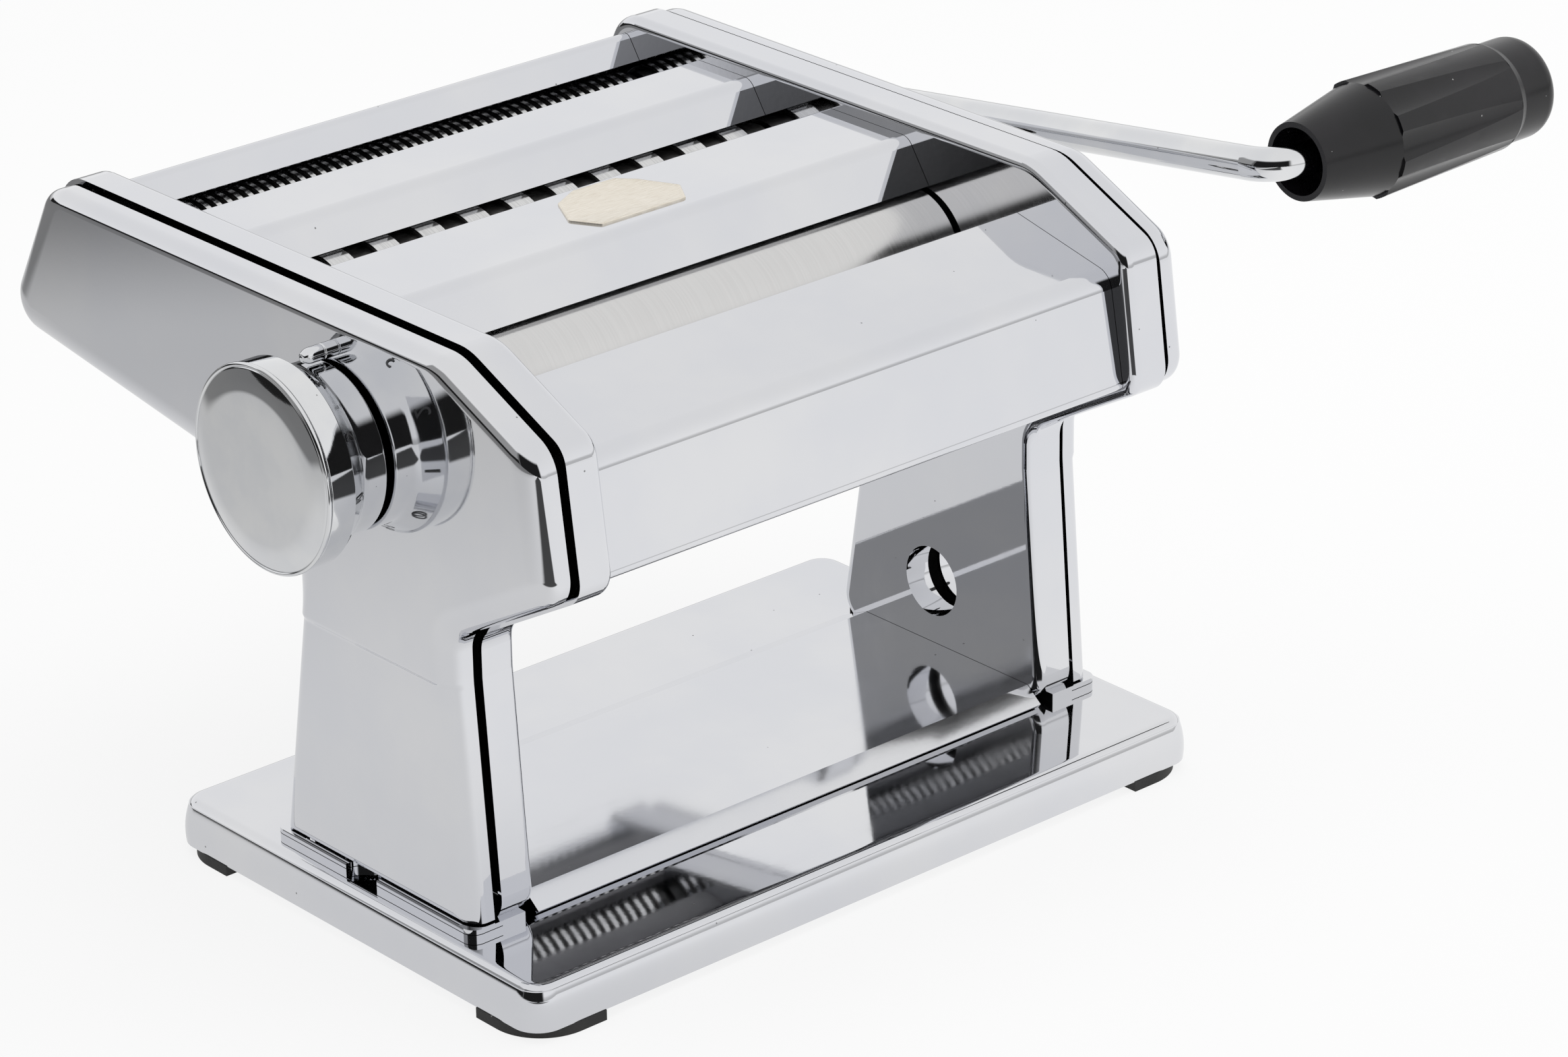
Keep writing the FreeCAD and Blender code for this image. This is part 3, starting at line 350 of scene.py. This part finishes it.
def rounded_outline(corners, inset, arc_steps=12):
    """Closed outline of corners, drawn anticlockwise and moved inwards.

    A corner is its two coordinates, its radius and an edge share: the edge that leaves it moves by that share
    of the inset, so a foot can be tighter than a brow.
    """
    least_radius = 0.15
    count = len(corners)
    spots = [Vector(corner[:2]) for corner in corners]
    ways = [(spots[(i + 1) % count] - spots[i]).normalized() for i in range(count)]
    points = []
    for i in range(count):
        before, after = ways[i - 1], ways[i]
        shift_before, shift_after = inset * corners[i - 1][3], inset * corners[i][3]
        bend = before.x * after.y - before.y * after.x
        along = (shift_after - shift_before * before.dot(after)) / bend
        tip = spots[i] + Vector((-before.y, before.x)) * shift_before - before * along
        side = 1 if bend > 0 else -1
        radius = max(corners[i][2] - side * inset, least_radius)
        half = math.acos(max(-1.0, min(1.0, before.dot(after)))) / 2
        inward = (Vector((-before.y, before.x)) + Vector((-after.y, after.x))).normalized()
        centre = tip + inward * (side * radius / math.cos(half))
        start = Vector((before.y, -before.x)) * side
        for k in range(arc_steps + 1):
            angle = side * 2 * half * k / arc_steps
            spoke = Vector((start.x * math.cos(angle) - start.y * math.sin(angle),
                            start.x * math.sin(angle) + start.y * math.cos(angle)))
            points.append(centre + spoke * radius)
    return points


def ring_of(work, points, x):
    return [work.verts.new((x * MM, y * MM, z * MM)) for y, z in points]


def bridge(work, first, second):
    for i in range(len(first)):
        j = (i + 1) % len(first)
        work.faces.new((first[i], first[j], second[j], second[i]))


# Pressed end covers


COVER_CORNERS = [
    (-36.8, 14.4, 1.5, 0.4), (31.8, 14.4, 3.0, 0.7), (22.0, 72.0, 40.0, 1.0), (22.0, 94.9, 6.5, 1.0),
    (129.5, 110.8, 8.0, 1.0), (110.2, 146.9, 10.0, 0.5), (-32.8, 146.9, 15.0, 0.65), (-62.4, 133.5, 9.0, 1.0),
    (-66.8, 102.0, 7.5, 1.0), (-32.4, 83.1, 6.5, 1.0), (-32.4, 72.0, 40.0, 1.0),
]


def end_cover(name, side, openings):
    """Pressed cover: soft edge all round, and a leg panel set in below a low step."""
    inner, face, sheet, foot = 87.4, 94.0, 1.2, 16.0
    edge_in, edge_out, edge_steps, flat_margin = 6.5, 4.2, 12, 0.4
    step_top, step_low, step_depth, step_cuts = 72.0, 70.2, 0.7, 10
    hole_sides = 48
    work = bmesh.new()
    rings = [ring_of(work, rounded_outline(COVER_CORNERS, 0.0), side * inner)]
    for k in range(edge_steps + 1):
        turn = math.radians(90) * k / edge_steps
        inset = edge_in * (1 - math.cos(turn))
        x = face - edge_out + edge_out * math.sin(turn)
        rings.append(ring_of(work, rounded_outline(COVER_CORNERS, inset), side * x))
    rings.append(ring_of(work, rounded_outline(COVER_CORNERS, edge_in + flat_margin), side * face))
    for first, second in zip(rings, rings[1:]):
        bridge(work, first, second)
    rim = [rings[-1]]
    for y, z, radius in openings:
        angles = [math.radians(360) * k / hole_sides for k in range(hole_sides)]
        circle = [(y + radius * math.cos(a), z + radius * math.sin(a)) for a in angles]
        rim.append(ring_of(work, circle, side * face))
    edges = []
    for loop in rim:
        for i in range(len(loop)):
            pair = (loop[i], loop[(i + 1) % len(loop)])
            edges.append(work.edges.get(pair) or work.edges.new(pair))
    bmesh.ops.triangle_fill(work, use_beauty=True, use_dissolve=False, edges=edges, normal=(side, 0, 0))
    bmesh.ops.remove_doubles(work, verts=work.verts, dist=1e-6)
    for k in range(-1, step_cuts + 2):
        level = (step_low + (step_top - step_low) * k / step_cuts) * MM
        geometry = work.verts[:] + work.edges[:] + work.faces[:]
        bmesh.ops.bisect_plane(work, geom=geometry, plane_co=(0, 0, level), plane_no=(0, 0, 1))
    for vert in work.verts:
        rise = max(0.0, min(1.0, (vert.co.z / MM - step_low) / (step_top - step_low)))
        recess = step_depth * (1 - rise * rise * (3 - 2 * rise))
        reach = (abs(vert.co.x) / MM - inner) / (face - inner)
        vert.co.x -= side * recess * reach * MM
    geometry = work.verts[:] + work.edges[:] + work.faces[:]
    bmesh.ops.bisect_plane(work, geom=geometry, plane_co=(0, 0, foot * MM), plane_no=(0, 0, -1),
                           clear_outer=True)
    bmesh.ops.recalc_face_normals(work, faces=work.faces)
    shell = bpy.data.meshes.new(name + "_shell")
    work.to_mesh(shell)
    work.free()
    shell.materials.append(sheet_chrome)
    # The cover's inner side gets the near-black painted shade.
    shell.materials.append(painted_shade_inside)
    outer = sum(polygon.normal.x * polygon.area for polygon in shell.polygons)
    holder = bpy.data.objects.new(name + "_shell", shell)
    scene.collection.objects.link(holder)
    wall = holder.modifiers.new("sheet", "SOLIDIFY")
    wall.thickness = sheet * MM
    wall.offset = -1.0 if outer * side > 0 else 1.0
    wall.use_even_offset = True
    wall.material_offset = 1
    graph = bpy.context.evaluated_depsgraph_get()
    thick = bpy.data.meshes.new_from_object(holder.evaluated_get(graph))
    bpy.data.objects.remove(holder)
    work = bmesh.new()
    work.from_mesh(thick)
    return work


def left_cover():
    spindle_hole = 8.0
    work = end_cover("left_cover", -1, [(*KNOB_AXIS, spindle_hole)])
    placed("left_cover", work, [sheet_chrome, painted_shade_inside], "frame", ["end_cover_left"])


def right_cover():
    socket_hole = 6.0
    sockets = [(*axis, socket_hole) for axis in (SMOOTH_AXIS, WIDE_AXIS, NARROW_AXIS)]
    clamp_y, clamp_z, bore, collar_wall = 0.0, 33.4, 8.7, 1.1
    work = end_cover("right_cover", 1, sockets + [(clamp_y, clamp_z, bore + collar_wall)])
    collar = [
        (86.8, bore), (94.4, bore), (94.9, bore + 0.25), (95.0, bore + 0.6), (94.8, bore + 1.0),
        (94.2, bore + 1.3), (93.4, bore + 2.0), (92.9, bore + 3.2), (91.6, bore + 2.0),
        (86.8, bore + collar_wall),
    ]
    turn_profile(work, collar, clamp_y, clamp_z, closed=True)
    placed("right_cover", work, [sheet_chrome, painted_shade_inside], "frame", ["end_cover_right"])


# Base plate


def level_rings(corners, rows):
    """Closed solid of level rings: the outline moved in by each row's inset, at each row's height."""
    work = bmesh.new()
    rings = []
    for inset, rise in rows:
        ring = rounded_outline(corners, inset)
        rings.append([work.verts.new((x * MM, y * MM, rise * MM)) for x, y in ring])
    for first, second in zip(rings, rings[1:]):
        bridge(work, first, second)
    work.faces.new(rings[0])
    work.faces.new(rings[-1])
    return work


def base_sheet():
    """Turned-down base: tight corners, a rim that bulges a little and a soft edge on top."""
    half_x, half_y, corner = 100.0, 65.0, 7.0
    top, lift, sheet, edge = 13.2, 2.5, 1.2, 2.4
    steps, flat_margin = 10, 0.4
    low, brow, flat = math.radians(-8), math.radians(20), math.radians(90)
    bulge = (top - lift - edge * (1 - math.sin(brow))) / (math.sin(brow) - math.sin(low))
    rows = [(sheet, top - sheet), (sheet, lift)]
    for k in range(steps + 1):
        tilt = low + (brow - low) * k / steps
        rows.append((bulge * (1 - math.cos(tilt)), lift + bulge * (math.sin(tilt) - math.sin(low))))
    start_in, start_up = rows[-1]
    for k in range(1, steps + 1):
        tilt = brow + (flat - brow) * k / steps
        inset = start_in + edge * (math.cos(brow) - math.cos(tilt))
        rows.append((inset, start_up + edge * (math.sin(tilt) - math.sin(brow))))
    rows.append((rows[-1][0] + flat_margin, top))
    corners = [(-half_x, -half_y), (half_x, -half_y), (half_x, half_y), (-half_x, half_y)]
    work = level_rings([(x, y, corner, 1.0) for x, y in corners], rows)
    placed("base_sheet", work, [sheet_chrome], "frame", ["base_plate"])


# Lathed pieces


def turn_profile(work, profile, y, z, closed=False, steps=128):
    """Turn a profile of (x, radius) points round an axis along X; points with no radius close the ends."""
    rings = []
    for x, radius in profile:
        if radius == 0:
            rings.append([work.verts.new((x * MM, y * MM, z * MM))])
            continue
        angles = [math.radians(360) * k / steps for k in range(steps)]
        rings.append(ring_of(work, [(y + radius * math.cos(a), z + radius * math.sin(a)) for a in angles], x))
    pairs = list(zip(rings, rings[1:]))
    if closed:
        pairs.append((rings[-1], rings[0]))
    for first, second in pairs:
        if len(first) == 1 or len(second) == 1:
            tip, loop = (first[0], second) if len(first) == 1 else (second[0], first)
            for i in range(steps):
                work.faces.new((tip, loop[i], loop[(i + 1) % steps]))
        else:
            bridge(work, first, second)


def rounded_profile(corners, arc_steps=8):
    """Profile through (x, radius, rounding) corners, each corner drawn as an arc of its rounding."""
    points = [corners[0][:2]]
    for before, here, after in zip(corners, corners[1:], corners[2:]):
        spot = Vector(here[:2])
        back = Vector(before[:2]) - spot
        ahead = Vector(after[:2]) - spot
        reach = min(here[2], 0.49 * back.length, 0.49 * ahead.length)
        if reach <= 0:
            points.append(here[:2])
            continue
        start = spot + back.normalized() * reach
        stop = spot + ahead.normalized() * reach
        for k in range(arc_steps + 1):
            t = k / arc_steps
            points.append(tuple(start * (1 - t) ** 2 + spot * (2 * t * (1 - t)) + stop * t ** 2))
    points.append(corners[-1][:2])
    return points


def thickness_knob():
    """Numbered drum with a bored back, and the cap with its soft dish, bead and seam."""
    drum = rounded_profile([
        (-104.0, 4.05, 0), (-95.0, 4.05, 0.2), (-95.0, 19.5, 0.7), (-101.0, 19.5, 1.2), (-106.2, 22.7, 0.5),
        (-106.4, 23.3, 0.25), (-112.5, 23.3, 0.2), (-112.5, 7.5, 0.2), (-104.0, 7.5, 0.2), (-104.0, 4.05, 0),
    ])
    work = bmesh.new()
    turn_profile(work, drum[:-1], *KNOB_AXIS, closed=True)
    placed("knob_drum_turned", work, [round_chrome], "knob", ["knob_drum"])
    cap = rounded_profile([
        (-112.55, 0, 0), (-112.55, 23.2, 0.2), (-112.9, 23.2, 0.1), (-112.9, 23.6, 0.2), (-113.6, 23.6, 0.5),
        (-113.9, 23.0, 0.3), (-113.55, 22.7, 0.15), (-113.75, 22.4, 0.3), (-114.9, 18.5, 3.4),
        (-114.75, 9.0, 5.0), (-114.7, 0, 0),
    ])
    work = bmesh.new()
    turn_profile(work, cap, *KNOB_AXIS)
    placed("knob_cap_turned", work, [round_chrome], "knob", ["knob_cap"])


def index_pin():
    """Round-nosed pin with a turned ring, standing out of the cover over the numbers."""
    pin = rounded_profile([
        (-94.0, 0, 0), (-94.0, 1.8, 0), (-95.6, 1.8, 0.15), (-95.75, 1.62, 0.1), (-95.95, 1.62, 0.1),
        (-96.1, 1.8, 0.15), (-99.6, 1.8, 0.8), (-101.2, 0.9, 0.8), (-101.2, 0, 0),
    ])
    pin_y, pin_z = 5.0, 138.7
    work = bmesh.new()
    turn_profile(work, pin, pin_y, pin_z, steps=48)
    placed("index_pin_turned", work, [round_chrome], "frame", ["index_pin"])


left_cover()
right_cover()
base_sheet()
thickness_knob()
index_pin()


# Numerals round the knob's neck


def numeral_tree(finish):
    """Raised figures 0 to 9, spaced evenly round a cone about X, with their feet towards the cover."""
    tree = bpy.data.node_groups.new("neck_numerals", "GeometryNodeTree")
    tree.interface.new_socket("Geometry", in_out="OUTPUT", socket_type="NodeSocketGeometry")
    inputs = {}
    for label, kind in (("Height", "Float"), ("Relief", "Float"), ("Step", "Float"), ("Start", "Float"),
                        ("Reach", "Vector"), ("Lean", "Rotation"), ("Centre", "Vector")):
        socket = tree.interface.new_socket(label, in_out="INPUT", socket_type="NodeSocket" + kind)
        inputs[label] = socket.identifier
    source = tree.nodes.new("NodeGroupInput")

    def add(kind, settings=None, **links):
        node = tree.nodes.new(kind)
        for key, value in (settings or {}).items():
            setattr(node, key, value)
        for key, value in links.items():
            slot = node.inputs[key.replace("_", " ")]
            if isinstance(value, bpy.types.NodeSocket):
                tree.links.new(value, slot)
            else:
                slot.default_value = value
        return node

    text = add("GeometryNodeStringToCurves", {"pivot_mode": "MIDPOINT"},
               String="0123456789", Size=source.outputs["Height"])
    origin = add("ShaderNodeCombineXYZ")
    stacked = add("GeometryNodeSetPosition", Geometry=text.outputs[0], Position=origin.outputs[0])
    face = add("GeometryNodeFillCurve", Curve=stacked.outputs[0])
    raised = add("GeometryNodeExtrudeMesh", Mesh=face.outputs[0],
                 Offset_Scale=source.outputs["Relief"], Individual=False)
    back = add("GeometryNodeFlipFaces", Mesh=face.outputs[0])
    figures = []
    order = add("GeometryNodeInputIndex")
    turn = add("ShaderNodeMath", {"operation": "MULTIPLY_ADD"})
    tree.links.new(order.outputs[0], turn.inputs[0])
    tree.links.new(source.outputs["Step"], turn.inputs[1])
    tree.links.new(source.outputs["Start"], turn.inputs[2])
    angle = add("ShaderNodeCombineXYZ", X=turn.outputs[0])
    around = add("FunctionNodeEulerToRotation", Euler=angle.outputs[0])
    for shell in (raised, back):
        leant = add("GeometryNodeRotateInstances", Instances=shell.outputs[0],
                    Rotation=source.outputs["Lean"])
        out = add("GeometryNodeTranslateInstances", Instances=leant.outputs[0],
                  Translation=source.outputs["Reach"], Local_Space=False)
        spun = add("GeometryNodeRotateInstances", Instances=out.outputs[0],
                   Rotation=around.outputs[0], Local_Space=False)
        figures.append(add("GeometryNodeRealizeInstances", Geometry=spun.outputs[0]))
    joined = add("GeometryNodeJoinGeometry")
    for part in figures:
        tree.links.new(part.outputs[0], joined.inputs[0])
    closed = add("GeometryNodeMergeByDistance", Geometry=joined.outputs[0], Distance=1e-6)
    moved = add("GeometryNodeTransform", Geometry=closed.outputs[0], Translation=source.outputs["Centre"])
    coated = add("GeometryNodeSetMaterial", Geometry=moved.outputs[0], Material=finish)
    sink = tree.nodes.new("NodeGroupOutput")
    tree.links.new(coated.outputs[0], sink.inputs[0])
    return tree, inputs


def grown(name, tree, inputs, values):
    """A plain mesh object made by a geometry node tree with these input values."""
    seed = bpy.data.objects.new(name + "_seed", bpy.data.meshes.new(name + "_seed"))
    scene.collection.objects.link(seed)
    growth = seed.modifiers.new("grow", "NODES")
    growth.node_group = tree
    for label, value in values.items():
        growth[inputs[label]] = value
    graph = bpy.context.evaluated_depsgraph_get()
    mesh = bpy.data.meshes.new_from_object(seed.evaluated_get(graph))
    bpy.data.objects.remove(seed)
    piece = bpy.data.objects.new(name, mesh)
    scene.collection.objects.link(piece)
    return piece


def neck_numerals():
    neck_small, neck_large = (-101.0, 19.5), (-106.4, 23.3)
    run = neck_small[0] - neck_large[0]
    rise = neck_large[1] - neck_small[1]
    slope = math.hypot(run, rise)
    up = Vector((-run, 0, rise)) / slope
    outward = Vector((rise, 0, run)) / slope
    across = up.cross(outward)
    lean = Matrix((across, up, outward)).transposed().to_euler()
    middle_x = (neck_small[0] + neck_large[0]) / 2
    middle_r = (neck_small[1] + neck_large[1]) / 2
    half_tall, half_wide = 1.75, 1.35
    tree, inputs = numeral_tree(number_ink)
    shown_at_pin = 4
    pin_angle = math.radians(-12)
    step = math.radians(-36)
    piece = grown("neck_numerals", tree, inputs, {
        "Height": 5.0 * MM,
        "Relief": 0.05 * MM,
        "Step": step,
        "Start": pin_angle - shown_at_pin * step,
        "Reach": (Vector((middle_x, 0, middle_r)) - up * half_tall - across * half_wide) * MM,
        "Lean": lean,
        "Centre": Vector((0, *KNOB_AXIS)) * MM,
    })
    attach(piece, "knob")


neck_numerals()


# Blank badge on the front strip


def blank_badge():
    """A thin shield-shaped plate with a pressed rim, lying on the strip."""
    strip_top, round_off = 143.2, 1.2
    corners = [(-12.0, 12.0), (12.5, 12.0), (16.8, 19.0), (12.2, 28.5), (8.5, 32.6), (-3.5, 32.8),
               (-11.0, 28.8), (-16.0, 19.0)]
    rows = [(0.0, 0.0), (0.05, 0.35), (0.25, 0.5), (0.75, 0.5), (0.95, 0.38), (1.05, 0.36)]
    rows = [(inset, strip_top + rise) for inset, rise in rows]
    work = level_rings([(x, y, round_off, 1.0) for x, y in corners], rows)
    placed("blank_badge", work, [badge_enamel()], "frame", [])


blank_badge()


# Studio


def studio_world():
    """White for the camera; metal sees a pale room that is dark on the left and low at the back left."""
    world = bpy.data.worlds.new("studio")
    scene.world = world
    world.use_nodes = True
    world.node_tree.nodes.clear()
    way = Wire(world.node_tree).node("TexCoord", out="Generated")
    height = way.axis("Z")
    bearing = way.node("Math", {"operation": "ARCTAN2"}, {0: way.axis("X"), 1: 0.0 - way.axis("Y")})

    def between(start, stop, soft):
        rise = bearing.step(math.radians(start), math.radians(start + soft))
        return rise * (1.0 - bearing.step(math.radians(stop - soft), math.radians(stop)))

    dark = grey(0.015)
    pale = height.step(0.0, 0.9).blend(grey(1.0), grey(0.92))
    back_left_wall = between(-140, -98, 2) * (1.0 - height.step(0.50, 0.60))
    room = back_left_wall.blend(pale, grey(0.36))
    horizon = 1.0 - height.step(0.02, 0.14)
    room = horizon.blend(room, grey(0.60))
    back_left_foot = between(-176, -98, 4) * (1.0 - height.step(0.11, 0.15))
    room = back_left_foot.blend(room, dark)
    left_wall = between(-106, -16, 10) * (1.0 - height.step(0.50, 0.64))
    room = left_wall.blend(room, dark)
    camera_ray = way.node("LightPath", out="Is Camera Ray")
    glossy_ray = way.node("LightPath", out="Is Glossy Ray")
    seen = glossy_ray.blend(grey(0.55), room)
    sky = camera_ray.blend(seen, grey(1.0))
    light = way.node("Background", {}, {"Color": sky, "Strength": 1.0})
    way.node("OutputWorld", {}, {"Surface": light})


def studio_floor():
    """Table: white for the camera, with the object's shadow kept.

    In the metal it fades behind the object and has a dark patch where the photographer stands.
    """
    mesh = bpy.data.meshes.new("studio_floor")
    half = 4.0
    spots = [(-half, -half, 0), (half, -half, 0), (half, half, 0), (-half, half, 0)]
    mesh.from_pydata(spots, [], [(0, 1, 2, 3)])
    floor = bpy.data.objects.new("studio_floor", mesh)
    scene.collection.objects.link(floor)
    finish, place = new_finish("studio_floor")
    side = place.axis("X")
    depth = place.axis("Y")
    behind = side * -0.60 + depth * 0.75
    toward = side * -0.65 + depth * -0.76
    aside = place.maths("ABSOLUTE", side * 0.76 + depth * -0.65 + 0.03)
    person = toward.step(0.31, 0.35) * (1.0 - aside.step(0.16, 0.22))
    table = behind.step(-0.15, 0.05).blend(grey(1.0), grey(0.80))
    table = behind.step(0.15, 0.40).blend(table, grey(0.58))
    table = behind.step(0.40, 0.52).blend(table, grey(0.18))
    table = person.blend(table, grey(0.015))
    camera_ray = place.node("LightPath", out="Is Camera Ray")
    glossy_ray = place.node("LightPath", out="Is Glossy Ray")
    through_ray = place.node("LightPath", out="Is Transmission Ray")
    glow = place.node("Emission", {}, {"Color": camera_ray.blend(table, grey(1.0)), "Strength": 1.0})
    paint = place.node("BsdfDiffuse", {}, {"Color": grey(0.90)})
    shown = camera_ray * 0.84 + glossy_ray * 0.92 + through_ray * 0.82
    shown = place.node("Clamp", {}, {"Value": shown})
    mixed = place.node("MixShader", {}, {0: shown, 1: paint, 2: glow})
    place.node("OutputMaterial", {}, {"Surface": mixed})
    mesh.materials.append(finish)


def soft_light(name, place, target, size, power):
    lamp = bpy.data.lights.new(name, "AREA")
    lamp.shape = "RECTANGLE"
    lamp.size, lamp.size_y = size
    lamp.energy = power
    holder = bpy.data.objects.new(name, lamp)
    scene.collection.objects.link(holder)
    holder.location = place
    holder.rotation_euler = (Vector(target) - Vector(place)).to_track_quat("-Z", "Y").to_euler()
    holder.visible_glossy = False


def photo_camera():
    lens = bpy.data.cameras.new("photo_camera")
    lens.sensor_fit = "HORIZONTAL"
    lens.sensor_width = 36.0
    lens.lens = 130.82
    lens.clip_start = 0.05
    camera = bpy.data.objects.new("photo_camera", lens)
    scene.collection.objects.link(camera)
    stand = Vector((-0.76150, -0.89993, 0.59328))
    target = Vector((0.02972, 0.0, 0.06109))
    aim = (target - stand).to_track_quat("-Z", "Y")
    roll = Euler((0, 0, math.radians(-0.793))).to_quaternion()
    camera.rotation_euler = (aim @ roll).to_euler()
    camera.location = stand
    scene.camera = camera


studio_world()
studio_floor()
soft_light("overhead_box", (0.15, 0.10, 1.30), (0.0, 0.02, 0.08), (1.3, 1.0), 7.0)
soft_light("right_box", (1.10, -0.35, 0.70), (0.0, 0.02, 0.08), (0.9, 0.9), 4.0)
photo_camera()
